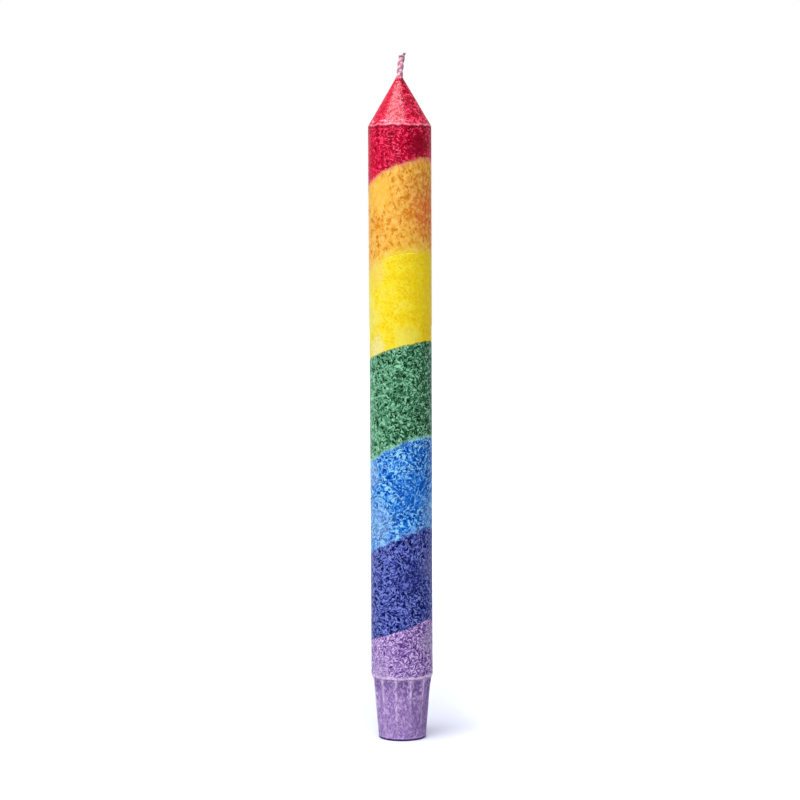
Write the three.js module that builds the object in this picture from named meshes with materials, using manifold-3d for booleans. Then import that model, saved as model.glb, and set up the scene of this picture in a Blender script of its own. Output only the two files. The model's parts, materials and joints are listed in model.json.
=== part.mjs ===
// A dinner candle of crystalline stearin wax, 23 mm across and 250 mm tall with its wick.
// Seven coloured layers are cast one on another in a leaning mould, so every joint between two colours is a
// slanted plane. A flat three-strand cotton braid runs through all of them and stands out of the pointed tip.
// The foot is a tapered plug with shallow flutes, which wedges into a candle holder up to the ledge above it.
// Millimetres, +Z up. The origin is the centre of the foot's flat underside, and the front faces -Y.
import * as THREE from "three";
import { mergeVertices } from "three/addons/utils/BufferGeometryUtils.js";
import Module from "manifold-3d";

// Foot: the plug that goes into the holder.
const FOOT_HEIGHT = 22.6; // from the underside to the ledge
const FOOT_UNDERSIDE_RADIUS = 8.62;
const FOOT_UNDERSIDE_ROUND = 0.4;
const FOOT_STRAIGHT_HEIGHT = 17; // above this the ribs flare out to the ledge
const FOOT_STRAIGHT_TOP_RADIUS = 10.2;
const FLUTE_COUNT = 12;
const FIRST_FLUTE_DEG = 2.4; // turn of the first flute from +X
const FLUTE_TOP_DEPTH = 0.85; // below the ribs, at the ledge
const FLUTE_FOOT_DEPTH = 0.02; // at the underside, where the flutes have run out
const FLUTE_HOLLOW_TOP = 9; // radius of the hollow across a flute, at the ledge
const FLUTE_HOLLOW_FOOT = 15;

// Body: the straight part between the ledge and the shoulder, with the mould's draft.
const BODY_HEIGHT = 200.4;
const BODY_LEDGE_RADIUS = 11.25;
const BODY_SHOULDER_RADIUS = 11.5;
const LEDGE_CHAMFER_HEIGHT = 0.6;
const LEDGE_CHAMFER_DEPTH = 0.2; // inwards, down to the top of the ribs

// Tip: the cone above the shoulder.
const CONE_HEIGHT = 17.2;
const CONE_TIP_RADIUS = 1.4;
const SHOULDER_ROUND = 0.8;

// Wick: a flat braid of three strands.
const STRAND_COUNT = 3;
const STRAND_WIDTH = 0.66;
const STRAND_THICKNESS = 0.43;
const STRAND_CLEARANCE = 0.03; // between strands where they pass each other
const BRAID_PITCH = 8; // height in which a strand goes once across and back
const WICK_STANDS_OUT = 9.4; // above the tip, to the end of the longest strand
const WICK_LEAN = 1.25; // how far the cut end leans to the side
const WICK_BENT_SHARE = 0.6; // share of the lean that comes from a bend, the rest from a straight slant
const STRAND_CUT_SHORT = [0, 1.1, 0.8]; // how much shorter than the longest each strand is cut
const STRAND_SPLAY = 0.25; // how far the swing opens at the cut end
const SPLAY_HEIGHT = 1.8; // over this height below the cut end
const WICK_UNDERSIDE_RECESS = 0.3;
const WICK_BORE_CLEARANCE = 0.1;

// Heights of the layers on the axis, from the foot's ledge to the shoulder. The violet one also fills the foot,
// and the red one the tip. On a longer or shorter body they keep their proportions.
const VIOLET_HEIGHT = 15.1;
const INDIGO_HEIGHT = 34.5;
const BLUE_HEIGHT = 32.9;
const GREEN_HEIGHT = 35.8;
const YELLOW_HEIGHT = 31.3;
const ORANGE_HEIGHT = 32;
const RED_HEIGHT = 18.8;

// The joint on top of a layer rises by riseRight for each millimetre towards +X, and by riseFront towards -Y.
const LAYERS = [
  { name: "violet_foot_layer", height: VIOLET_HEIGHT, riseRight: 0.34, riseFront: 0.29, color: 0x9b7cbb },
  { name: "indigo_layer", height: INDIGO_HEIGHT, riseRight: 0.43, riseFront: 0.2, color: 0x464f9c },
  { name: "blue_layer", height: BLUE_HEIGHT, riseRight: 0.4, riseFront: 0.3, color: 0x4a90dc },
  { name: "green_layer", height: GREEN_HEIGHT, riseRight: 0.23, riseFront: 0.24, color: 0x4f8a68 },
  { name: "yellow_layer", height: YELLOW_HEIGHT, riseRight: 0.17, riseFront: 0.4, color: 0xf4df2c },
  { name: "orange_layer", height: ORANGE_HEIGHT, riseRight: 0.32, riseFront: 0.38, color: 0xf0ae48 },
];
const TOP_LAYER = { name: "red_tip_layer", height: RED_HEIGHT, color: 0xc01c40 };

// Fineness of the faces.
const ROUND_SIDES = 60; // a multiple of the flute count and of four
const BORE_SIDES = 20;
const FLUTE_CUTTER_SIDES = 72;
const FILLET_STEPS = 4;
const STRAND_SIDES = 5;
const LEAST_STEP = 0.1;
const STEPS_PER_PITCH = 9; // a multiple of the strand count, so every strand is cut at the same phases
const OPEN_STEPS_PER_PITCH = 18; // where the braid shows
const OPEN_BELOW_TIP = 2; // the finer part starts this far inside the wax

const ledgeZ = FOOT_HEIGHT;
const ribTopRadius = BODY_LEDGE_RADIUS - LEDGE_CHAMFER_DEPTH;
const shoulderZ = ledgeZ + BODY_HEIGHT;
const tipZ = shoulderZ + CONE_HEIGHT;
const wickTopZ = tipZ + WICK_STANDS_OUT;
const reach = wickTopZ + BODY_SHOULDER_RADIUS; // longer than anything that is cut

// How far the body stretches the layers' heights: 1 where they add up to its own.
const layersTogether = LAYERS.reduce((sum, layer) => sum + layer.height, TOP_LAYER.height);
const layerStretch = BODY_HEIGHT / layersTogether;

// How far a strand's middle swings to each side, and to the front and back. Where two strands cross, their
// middles are sqrt(3) times the depth apart, less what the straight steps cut off.
const braidSwing = STRAND_WIDTH + STRAND_CLEARANCE;
const braidSpread = Math.sqrt(3) * Math.cos((2 * Math.PI) / STEPS_PER_PITCH);
const braidDepth = (STRAND_THICKNESS + STRAND_CLEARANCE) / braidSpread;

const wasm = await Module();
wasm.setup();

function solidOf(geometry) {
  const bare = geometry.clone();
  bare.deleteAttribute("normal");
  bare.deleteAttribute("uv");
  const merged = mergeVertices(bare);
  return new wasm.Manifold(
    new wasm.Mesh({
      numProp: 3,
      vertProperties: new Float32Array(merged.attributes.position.array),
      triVerts: new Uint32Array(merged.index.array),
    }),
  );
}

function geometryOf(solid) {
  const mesh = solid.getMesh();
  const geometry = new THREE.BufferGeometry();
  geometry.setAttribute("position", new THREE.BufferAttribute(mesh.vertProperties, mesh.numProp));
  geometry.setIndex(new THREE.BufferAttribute(mesh.triVerts, 1));
  const faceted = geometry.toNonIndexed();
  faceted.computeVertexNormals();
  return faceted;
}

// A profile of (radius, height) points turned round the Z axis.
function revolve(profile) {
  return new THREE.LatheGeometry(profile, ROUND_SIDES).rotateX(Math.PI / 2);
}

// Points of a round corner between two straight sides, tangent to both.
function roundCorner(before, corner, after, radius, steps) {
  const toBefore = before.clone().sub(corner).normalize();
  const toAfter = after.clone().sub(corner).normalize();
  const half = toBefore.angleTo(toAfter) / 2;
  const centre = toBefore.clone().add(toAfter).setLength(radius / Math.sin(half)).add(corner);
  const start = toBefore.multiplyScalar(radius / Math.tan(half)).add(corner).sub(centre);
  const end = toAfter.multiplyScalar(radius / Math.tan(half)).add(corner).sub(centre);
  const turn = Math.atan2(start.cross(end), start.dot(end));
  const points = [];
  for (let i = 0; i <= steps; i++) {
    points.push(start.clone().rotateAround(new THREE.Vector2(), (turn * i) / steps).add(centre));
  }
  return points;
}

// The whole candle's outline before the flutes, the bore and the joints between colours are cut.
function candleBlank() {
  const at = (radius, z) => new THREE.Vector2(radius, z);
  const underside = at(0, 0);
  const undersideEdge = at(FOOT_UNDERSIDE_RADIUS, 0);
  const straightTop = at(FOOT_STRAIGHT_TOP_RADIUS, FOOT_STRAIGHT_HEIGHT);
  const ribTop = at(ribTopRadius, ledgeZ);
  const footSlope = (FOOT_STRAIGHT_TOP_RADIUS - FOOT_UNDERSIDE_RADIUS) / FOOT_STRAIGHT_HEIGHT;
  const flareBend = at(FOOT_STRAIGHT_TOP_RADIUS + footSlope * (ledgeZ - FOOT_STRAIGHT_HEIGHT) / 2,
    (FOOT_STRAIGHT_HEIGHT + ledgeZ) / 2);
  const ledgeEdge = at(BODY_LEDGE_RADIUS, ledgeZ + LEDGE_CHAMFER_HEIGHT);
  const shoulder = at(BODY_SHOULDER_RADIUS, shoulderZ);
  const tipEdge = at(CONE_TIP_RADIUS, tipZ);
  return revolve([
    underside,
    ...roundCorner(underside, undersideEdge, straightTop, FOOT_UNDERSIDE_ROUND, FILLET_STEPS),
    ...new THREE.QuadraticBezierCurve(straightTop, flareBend, ribTop).getPoints(FILLET_STEPS),
    ledgeEdge,
    ...roundCorner(ledgeEdge, shoulder, tipEdge, SHOULDER_ROUND, FILLET_STEPS),
    tipEdge,
    at(0, tipZ),
  ]);
}

// A tapered round cutter stands outside the foot at each flute. Its inner side is the flute's floor, and its
// flat top is at the ledge, so each flute ends in a flat scallop there.
function fluteCutters() {
  const footAxis = FOOT_UNDERSIDE_RADIUS - FLUTE_FOOT_DEPTH + FLUTE_HOLLOW_FOOT; // from the candle's axis
  const topAxis = ribTopRadius - FLUTE_TOP_DEPTH + FLUTE_HOLLOW_TOP;
  const lean = (topAxis - footAxis) / FOOT_HEIGHT;
  const spread = (FLUTE_HOLLOW_TOP - FLUTE_HOLLOW_FOOT) / FOOT_HEIGHT;
  const overrun = FOOT_UNDERSIDE_RADIUS; // how far the cutter goes on below the underside
  const height = FOOT_HEIGHT + overrun;
  const cutter = new THREE.CylinderGeometry(
    FLUTE_HOLLOW_TOP, FLUTE_HOLLOW_FOOT - spread * overrun, height, FLUTE_CUTTER_SIDES)
    .rotateX(Math.PI / 2)
    .translate(0, 0, ledgeZ - height / 2)
    .applyMatrix4(new THREE.Matrix4().makeShear(0, 0, 0, 0, lean, 0))
    .translate(footAxis, 0, 0);
  const solid = solidOf(cutter);
  return Array.from({ length: FLUTE_COUNT }, (_, i) =>
    solid.rotate([0, 0, FIRST_FLUTE_DEG + (360 * i) / FLUTE_COUNT]));
}

// The channel that the wick fills, from the underside to the tip.
function wickBore() {
  const halfWidth = braidSwing + STRAND_WIDTH / 2 + WICK_BORE_CLEARANCE;
  const halfThickness = braidDepth + STRAND_THICKNESS / 2 + WICK_BORE_CLEARANCE;
  return new THREE.CylinderGeometry(1, 1, 2 * reach, BORE_SIDES)
    .rotateX(Math.PI / 2)
    .scale(halfWidth, halfThickness, 1);
}

// Everything above the slanted joint that crosses the axis at the given height.
function spaceAbove(height, riseRight, riseFront) {
  const up = new THREE.Vector3(-riseRight, riseFront, 1).normalize();
  return new THREE.BoxGeometry(2 * reach, 2 * reach, 2 * reach)
    .translate(0, 0, reach)
    .applyQuaternion(new THREE.Quaternion().setFromUnitVectors(new THREE.Vector3(0, 0, 1), up))
    .translate(0, 0, height);
}

function waxMesh({ name, color }, solid) {
  const material = new THREE.MeshStandardMaterial({ color, roughness: 0.42, metalness: 0 });
  const mesh = new THREE.Mesh(geometryOf(solid), material);
  mesh.name = name;
  return mesh;
}

// The finished wax is cut at each joint, from the foot up. Neighbours share the cut and meet face to face.
function waxLayers() {
  const candle = new THREE.Group();
  let rest = solidOf(candleBlank());
  for (const cutter of fluteCutters()) {
    rest = rest.subtract(cutter);
  }
  rest = rest.subtract(solidOf(wickBore()));
  let jointZ = ledgeZ;
  for (const layer of LAYERS) {
    jointZ += layer.height * layerStretch;
    const above = solidOf(spaceAbove(jointZ, layer.riseRight, layer.riseFront));
    candle.add(waxMesh(layer, rest.subtract(above)));
    rest = rest.intersect(above);
  }
  candle.add(waxMesh(TOP_LAYER, rest));
  return candle;
}

// Where the wick's middle line has leaned to, at a height.
function leanAt(z) {
  const share = Math.max(0, z - tipZ) / WICK_STANDS_OUT;
  return WICK_LEAN * ((1 - WICK_BENT_SHARE) * share + WICK_BENT_SHARE * share ** 2);
}

// The middle of a strand at a height. The strands follow one figure of eight, a third of a turn apart.
function strandMiddle(index, z) {
  const phase = 2 * Math.PI * ((z - wickTopZ) / BRAID_PITCH + 0.25 + index / STRAND_COUNT);
  const splay = Math.max(0, 1 - (wickTopZ - z) / SPLAY_HEIGHT);
  const swing = braidSwing + STRAND_SPLAY * splay ** 2;
  return new THREE.Vector3(swing * Math.sin(phase) + leanAt(z), braidDepth * Math.sin(2 * phase), z);
}

// Heights at which a strand's faces are cut, the same for all strands: finer where the braid shows.
function strandLevels(top) {
  const levels = [top];
  let z = wickTopZ;
  while (z > WICK_UNDERSIDE_RECESS + LEAST_STEP) {
    if (z < top - LEAST_STEP) levels.push(z);
    z -= BRAID_PITCH / (z > tipZ - OPEN_BELOW_TIP ? OPEN_STEPS_PER_PITCH : STEPS_PER_PITCH);
  }
  levels.push(WICK_UNDERSIDE_RECESS);
  return levels;
}

// A strand starts as a straight round rod with a ring of points at each level, which moves onto the braid.
function strandGeometry(index) {
  const levels = strandLevels(wickTopZ - STRAND_CUT_SHORT[index]);
  const spans = levels.length - 1;
  const rod = new THREE.CylinderGeometry(1, 1, spans, STRAND_SIDES, spans).rotateX(Math.PI / 2);
  const points = rod.attributes.position;
  const point = new THREE.Vector3();
  for (let i = 0; i < points.count; i++) {
    point.fromBufferAttribute(points, i);
    const level = levels[Math.round(spans / 2 - point.z)];
    const middle = strandMiddle(index, level);
    const x = middle.x + (point.x * STRAND_WIDTH) / 2;
    const y = middle.y + (point.y * STRAND_THICKNESS) / 2;
    points.setXYZ(i, x, y, level);
  }
  rod.computeVertexNormals();
  return rod;
}

function wick() {
  const braid = new THREE.Group();
  for (let i = 0; i < STRAND_COUNT; i++) {
    const cotton = new THREE.MeshStandardMaterial({ color: 0xf0c8d4, roughness: 0.85, metalness: 0 });
    const mesh = new THREE.Mesh(strandGeometry(i), cotton);
    mesh.name = `wick_strand_${i + 1}`;
    braid.add(mesh);
  }
  return braid;
}

const dinnerCandle = new THREE.Group();
dinnerCandle.add(waxLayers(), wick());

export default dinnerCandle;
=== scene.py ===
"""Dresses a dinner candle: seven cast layers of crystalline wax on a fluted foot, and a braided cotton wick.

The file is laid out as an add-on and is run as a script. Each operator makes one group of pieces round the
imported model, which is loaded below. Lengths are in millimetres in the settings and in metres in the meshes.
"""

import json
import math

import bmesh
import bpy
from mathutils import Matrix, Vector, noise


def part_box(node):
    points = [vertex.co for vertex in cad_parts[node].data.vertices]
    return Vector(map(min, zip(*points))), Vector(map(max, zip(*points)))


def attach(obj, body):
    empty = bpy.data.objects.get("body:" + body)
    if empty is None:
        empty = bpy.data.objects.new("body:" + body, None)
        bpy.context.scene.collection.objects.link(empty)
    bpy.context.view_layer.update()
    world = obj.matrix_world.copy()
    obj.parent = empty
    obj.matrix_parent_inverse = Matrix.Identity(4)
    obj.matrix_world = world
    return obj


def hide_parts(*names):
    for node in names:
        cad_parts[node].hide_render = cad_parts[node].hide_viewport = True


bl_info = {
    "name": "Layered dinner candle",
    "version": (1, 0, 0),
    "blender": (4, 5, 0),
    "location": "3D View > Sidebar > Candle",
    "description": "Makes a dinner candle of coloured wax layers with a braided wick",
    "category": "Add Mesh",
}

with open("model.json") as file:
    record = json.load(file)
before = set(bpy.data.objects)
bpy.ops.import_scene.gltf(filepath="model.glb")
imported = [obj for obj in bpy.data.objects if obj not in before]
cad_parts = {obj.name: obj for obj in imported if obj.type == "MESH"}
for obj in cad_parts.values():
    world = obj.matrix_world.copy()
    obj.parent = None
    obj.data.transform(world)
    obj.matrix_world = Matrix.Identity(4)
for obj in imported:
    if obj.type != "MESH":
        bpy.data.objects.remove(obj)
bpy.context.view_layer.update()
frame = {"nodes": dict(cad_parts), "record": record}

MM = 0.001
FULL_TURN = 2 * math.pi

# The layers from the foot up, each with the node that it stands for.
LAYER_NODES = {
    "violet": "violet_foot_layer",
    "indigo": "indigo_layer",
    "blue": "blue_layer",
    "green": "green_layer",
    "yellow": "yellow_layer",
    "orange": "orange_layer",
    "red": "red_tip_layer",
}
LAYERS = list(LAYER_NODES)
STRAND_NODES = ["wick_strand_1", "wick_strand_2", "wick_strand_3"]
FLUTES = 12


def linear(code):
    """A linear colour from the usual six-figure code."""
    channels = [int(code[i:i + 2], 16) / 255 for i in (1, 3, 5)]
    return tuple(c / 12.92 if c <= 0.04045 else ((c + 0.055) / 1.055) ** 2.4 for c in channels)


def smoothstep(low, high, value):
    """Eases from 0 at low to 1 at high."""
    share = min(1, max(0, (value - low) / (high - low)))
    return share * share * (3 - 2 * share)


# Settings.


def length_setting(label, note, default, highest=50):
    return bpy.props.FloatProperty(
        name=label, description=f"{note}, in millimetres", default=default, min=0, soft_max=highest, precision=3)


def share_setting(label, note, default, highest=1):
    return bpy.props.FloatProperty(name=label, description=note, default=default, min=0, soft_max=highest)


def colour_setting(label, note, code):
    return bpy.props.FloatVectorProperty(
        name=label, description=note, default=linear(code), size=3, subtype="COLOR", min=0, max=1)


class CandleWaxSizes(bpy.types.PropertyGroup):
    """Sizes of the wax, and of the pits and waves on it."""

    foot_underside_radius: length_setting("Underside radius", "Radius of the foot at its underside", 8.62)
    foot_straight_height: length_setting("Straight foot", "Height at which the ribs start to flare out", 17)
    foot_straight_radius: length_setting("Straight foot radius", "Radius of the ribs where the flare starts", 10.2)
    rib_top_radius: length_setting("Rib top radius", "Radius of the ribs at the ledge", 11.05)
    foot_height: length_setting("Foot height", "Height of the ledge above the underside", 22.6)
    flute_turn: bpy.props.FloatProperty(
        name="First flute", description="Turn of the first flute from the X axis",
        default=math.radians(2.4), subtype="ANGLE", unit="ROTATION")
    flute_top_depth: length_setting("Flute depth", "Depth of a flute below the ribs, at the ledge", 0.85)
    flute_foot_depth: length_setting("Flute run-out", "Depth of a flute at the underside", 0.02)
    flute_hollow_top: length_setting("Flute hollow", "Radius of the hollow across a flute, at the ledge", 9)
    flute_hollow_foot: length_setting("Flute hollow below", "Radius of that hollow at the underside", 15)
    ledge_radius: length_setting("Ledge radius", "Radius of the body just above the ledge", 11.25)
    ledge_chamfer: length_setting("Ledge chamfer", "Height of the chamfer above the ledge", 0.6)
    shoulder_radius: length_setting("Shoulder radius", "Radius of the body at the shoulder", 11.48)
    cone_height: length_setting("Cone height", "Height of the pointed tip above the shoulder", 17.2)
    tip_radius: length_setting("Tip radius", "Radius of the wax where the wick comes out", 1.4)
    shoulder_round: length_setting("Shoulder rounding", "Radius of the rounded shoulder", 3)
    underside_round: length_setting("Underside rounding", "Radius of the rounded edge below", 0.4)
    bore_half_width: length_setting("Bore half width", "Half the width of the wick's channel", 1.28)
    bore_half_depth: length_setting("Bore half depth", "Half the depth of the wick's channel", 0.66)
    mesh_step: length_setting("Mesh step", "Height of the faces on the body", 0.4)
    pit_depth: length_setting("Pit depth", "Depth of the pits between the crystals", 0.045)
    wave_depth: length_setting("Wave depth", "Depth of the slow waves left by the mould", 0.03)


class CandleWaxColours(bpy.types.PropertyGroup):
    """Colours of each layer: its pits, its body and its crystals."""

    red_pit: colour_setting("Red pits", "Dark places in the red wax", "#780018")
    red_body: colour_setting("Red wax", "Red wax between the crystals", "#cc0030")
    red_crystal: colour_setting("Red crystals", "Crystals in the red wax", "#ff4c76")
    orange_pit: colour_setting("Orange pits", "Dark places in the orange wax", "#d07a0c")
    orange_body: colour_setting("Orange wax", "Orange wax between the crystals", "#f8b448")
    orange_crystal: colour_setting("Orange crystals", "Crystals in the orange wax", "#ffd070")
    yellow_pit: colour_setting("Yellow pits", "Dark places in the yellow wax", "#ecb800")
    yellow_body: colour_setting("Yellow wax", "Yellow wax between the crystals", "#fae01c")
    yellow_crystal: colour_setting("Yellow crystals", "Crystals in the yellow wax", "#fcec64")
    green_pit: colour_setting("Green pits", "Dark places in the green wax", "#00200e")
    green_body: colour_setting("Green wax", "Green wax between the crystals", "#3c7a55")
    green_crystal: colour_setting("Green crystals", "Crystals in the green wax", "#a6ecc2")
    blue_pit: colour_setting("Blue pits", "Dark places in the blue wax", "#003894")
    blue_body: colour_setting("Blue wax", "Blue wax between the crystals", "#1c80ea")
    blue_crystal: colour_setting("Blue crystals", "Crystals in the blue wax", "#a0e0ff")
    indigo_pit: colour_setting("Indigo pits", "Dark places in the indigo wax", "#000448")
    indigo_body: colour_setting("Indigo wax", "Indigo wax between the crystals", "#3c48a0")
    indigo_crystal: colour_setting("Indigo crystals", "Crystals in the indigo wax", "#8c9cf0")
    violet_pit: colour_setting("Violet pits", "Dark places in the violet wax", "#462276")
    violet_body: colour_setting("Violet wax", "Violet wax between the crystals", "#9070bc")
    violet_crystal: colour_setting("Violet crystals", "Crystals in the violet wax", "#eed0ff")
    # The edge colours are painted highlights: violet on the rib crests, the ledge's lip and the edge above the
    # underside, red on the seam and on a crest above it.
    violet_edge: colour_setting("Violet edges", "Raised edges of the violet wax", "#f0d4ff")
    red_edge: colour_setting("Red edges", "Raised edges of the red wax", "#ff90a8")
    crystal_size: length_setting("Crystal width", "Distance from one crystal to the next", 0.85)
    patch_size: length_setting("Patch size", "Size of a patch of crystals that grew one way", 5)


class CandleWickSizes(bpy.types.PropertyGroup):
    """Sizes and colours of the wick."""

    strand_width: length_setting("Strand width", "Width of a strand of the braid", 1.2)
    strand_thickness: length_setting("Strand thickness", "Thickness of a strand of the braid", 0.6)
    braid_pitch: length_setting("Braid pitch", "Height in which a strand goes once across and back", 8)
    braid_swing: length_setting("Braid swing", "How far a strand swings to each side", 0.6)
    braid_depth: length_setting("Braid depth", "How far a strand swings to the front and back", 0.347)
    stands_out: length_setting("Free length", "How far the wick stands out of the tip", 9.4)
    lean: length_setting("Lean", "How far the cut end leans to the side", 1.25)
    bent_share: share_setting("Bent share", "Share of the lean that comes from a bend", 0.6)
    splay: length_setting("Splay", "How far the swing opens at the cut end", 0.25)
    splay_height: length_setting("Splay height", "Height over which the cut end opens", 1.8)
    yarn_pitch: length_setting("Yarn pitch", "Height of one turn of the yarns in a strand", 2.6)
    yarns: bpy.props.IntProperty(name="Yarns", description="Yarns in a strand", default=5, min=2, max=8)
    yarn_radius: length_setting("Yarn radius", "Radius of a yarn", 0.11)
    loose_ends: bpy.props.IntProperty(
        name="Loose ends", description="Cut yarns that stand out of each strand", default=4, min=0, max=8)
    cotton: colour_setting("Cotton", "Waxed cotton of the wick", "#e3a3b8")
    # This colour is painted shade, between strands that pass close and down the wick's right side.
    gap: colour_setting("Gaps", "Wax in the gaps of the braid", "#a06078")
    cut_end: colour_setting("Cut end", "Dark ends of the cut yarns", "#4c3540")


class CandleStageSettings(bpy.types.PropertyGroup):
    """The camera, the lights and the floor."""

    lens: bpy.props.FloatProperty(
        name="Lens", description="Focal length on a 36 mm sensor", default=99.37, min=20, subtype="DISTANCE_CAMERA")
    camera_place: bpy.props.FloatVectorProperty(
        name="Camera", description="Place of the camera", default=(-0.0003, -0.80298, 0.17072),
        size=3, subtype="TRANSLATION", unit="LENGTH")
    camera_target: bpy.props.FloatVectorProperty(
        name="Aim", description="Point that the camera looks at", default=(-0.0003, 0, 0.12384),
        size=3, subtype="TRANSLATION", unit="LENGTH")
    camera_roll: bpy.props.FloatProperty(
        name="Roll", description="Turn of the camera about its view", default=math.radians(-0.26),
        subtype="ANGLE", unit="ROTATION")
    key_turn: bpy.props.FloatProperty(
        name="Key light turn", description="Turn of the key light to the left of the camera",
        default=math.radians(30), subtype="ANGLE", unit="ROTATION")
    key_rise: bpy.props.FloatProperty(
        name="Key light rise", description="Rise of the key light above the horizon",
        default=math.radians(52), subtype="ANGLE", unit="ROTATION")
    key_size: bpy.props.FloatProperty(
        name="Key light size", description="Side of the square key light", default=2.0, min=0.1,
        subtype="DISTANCE", unit="LENGTH")
    key_distance: bpy.props.FloatProperty(
        name="Key light distance", description="Distance of the key light from the candle", default=1.8, min=0.3,
        subtype="DISTANCE", unit="LENGTH")
    key_power: bpy.props.FloatProperty(
        name="Key light power", description="Power of the key light", default=50, min=0, unit="POWER")
    reflector_turn: bpy.props.FloatProperty(
        name="Reflector turn", description="Turn of the panel that only shows in reflections, as the key light's",
        default=math.radians(37), subtype="ANGLE", unit="ROTATION")
    reflector_power: bpy.props.FloatProperty(
        name="Reflector power", description="Power of the panel that only shows in reflections", default=225, min=0,
        unit="POWER")
    surroundings: share_setting("Surroundings", "Strength of the white surroundings as a light", 0.75, 2)
    front_dimming: share_setting("Front", "Strength of the surroundings in front, as a share of the back", 0.2)
    front_turn: bpy.props.FloatProperty(
        name="Front turn", description="Turn of the dimmest surroundings to the right of the camera",
        default=math.radians(-30), subtype="ANGLE", unit="ROTATION")


# Meshes.


def new_piece(name, mesh_data, material, node):
    """A finished mesh becomes a piece that stands for a node and rides with the candle."""
    mesh = bpy.data.meshes.new(name)
    mesh_data.to_mesh(mesh)
    mesh_data.free()
    mesh.materials.append(material)
    mesh.shade_smooth()
    piece = bpy.data.objects.new(name, mesh)
    bpy.context.scene.collection.objects.link(piece)
    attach(piece, "root")
    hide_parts(node)
    return piece


def joint_on_top(node):
    """A point and the upward normal of the slanted joint on top of a layer's solid."""
    point = Vector()
    normal = Vector()
    total = 0
    for face in frame["nodes"][node].data.polygons:
        if face.normal.z > 0.6:
            point += face.center * face.area
            normal += face.normal * face.area
            total += face.area
    return point / total, normal.normalized()


def rib_radius(sizes, height):
    """Radius of the foot's ribs at a height, in millimetres."""
    slope = (sizes.foot_straight_radius - sizes.foot_underside_radius) / sizes.foot_straight_height
    straight = sizes.foot_underside_radius + slope * height
    flare = max(0, height - sizes.foot_straight_height) / (sizes.foot_height - sizes.foot_straight_height)
    top = sizes.foot_underside_radius + slope * sizes.foot_height
    return straight + (sizes.rib_top_radius - top) * flare ** 2


def flute_radius(sizes, height, turn):
    """Radius of the hollow floor of the nearest flute, in millimetres."""
    share = height / sizes.foot_height
    foot_axis = sizes.foot_underside_radius - sizes.flute_foot_depth + sizes.flute_hollow_foot
    top_axis = sizes.rib_top_radius - sizes.flute_top_depth + sizes.flute_hollow_top
    axis = foot_axis + (top_axis - foot_axis) * share
    hollow = sizes.flute_hollow_foot + (sizes.flute_hollow_top - sizes.flute_hollow_foot) * share
    pitch = FULL_TURN / FLUTES
    off = (turn - sizes.flute_turn + pitch / 2) % pitch - pitch / 2
    return axis * math.cos(off) - math.sqrt(max(0, hollow ** 2 - (axis * math.sin(off)) ** 2))


def wax_outline(sizes):
    """The outline from the bore's foot round the outside to its top: each corner, and the step to the next."""
    foot = sizes.foot_height
    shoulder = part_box("red_tip_layer")[1].z / MM - sizes.cone_height
    tip = shoulder + sizes.cone_height
    bore = sizes.bore_half_width
    slope = (sizes.shoulder_radius - sizes.tip_radius) / sizes.cone_height
    return [
        ((bore, 0), 2),
        ((sizes.foot_underside_radius, 0), 0.5),
        ((sizes.foot_straight_radius, sizes.foot_straight_height), 0.4),
        ((sizes.rib_top_radius, foot), 9),
        ((sizes.rib_top_radius, foot + 0.03), 0.2),
        ((sizes.ledge_radius, foot + sizes.ledge_chamfer), sizes.mesh_step),
        ((sizes.shoulder_radius, shoulder - 3), 0.15),
        ((sizes.shoulder_radius, shoulder), 0.15),
        ((sizes.shoulder_radius - 3 * slope, shoulder + 3), 0.3),
        ((sizes.tip_radius + 2 * slope, tip - 2), 0.2),
        ((sizes.tip_radius, tip), 0.2),
        ((bore, tip + 0.3), 0.3),
        ((bore - 0.05, tip - 0.6), 3),
    ]


def make_wax(sizes):
    """The whole candle's wax as one closed mesh with its pits, waves and painted light, before the joints are cut.
    """
    wax = bmesh.new()
    painted_light = wax.verts.layers.float.new("painted_light")
    outline = wax_outline(sizes)
    corners = [Vector((radius, 0, height)) * MM for (radius, height), step in outline]
    verts = [wax.verts.new(corner) for corner in corners]
    edges = [wax.edges.new(pair) for pair in zip(verts, verts[1:] + verts[:1])]
    bmesh.ops.spin(
        wax, geom=verts + edges, cent=(0, 0, 0), axis=(0, 0, 1), angle=FULL_TURN, steps=20 * FLUTES,
        use_merge=True)
    around = [edge for edge in wax.edges if abs(edge.verts[0].co.z - edge.verts[1].co.z) < 1e-7
              and abs(edge.verts[0].co.xy.length - edge.verts[1].co.xy.length) < 1e-7]
    bands = set(wax.edges) - set(around)
    for corner, following, (place, step) in zip(corners, corners[1:] + corners[:1], outline):
        cuts = math.ceil((following - corner).length / (step * MM)) - 1
        middle = (corner + following) / 2
        band = [edge for edge in bands if edge.is_valid and is_ring_at(edge, middle)]
        if cuts:
            bmesh.ops.subdivide_edges(wax, edges=band, cuts=cuts)
        bands -= set(band)
    bmesh.ops.rotate(wax, verts=wax.verts, matrix=Matrix.Rotation(sizes.flute_turn, 3, "Z"))
    bmesh.ops.recalc_face_normals(wax, faces=wax.faces)
    shape_wax(sizes, wax, painted_light)
    return wax


def is_ring_at(edge, middle):
    """Whether an edge's middle is on the circle that a point of the outline turns through."""
    first, second = (vert.co for vert in edge.verts)
    height = (first.z + second.z) / 2
    radius = (first.xy.length + second.xy.length) / 2
    return abs(height - middle.z) < 1e-6 and abs(radius - middle.x) < 1e-6


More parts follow.
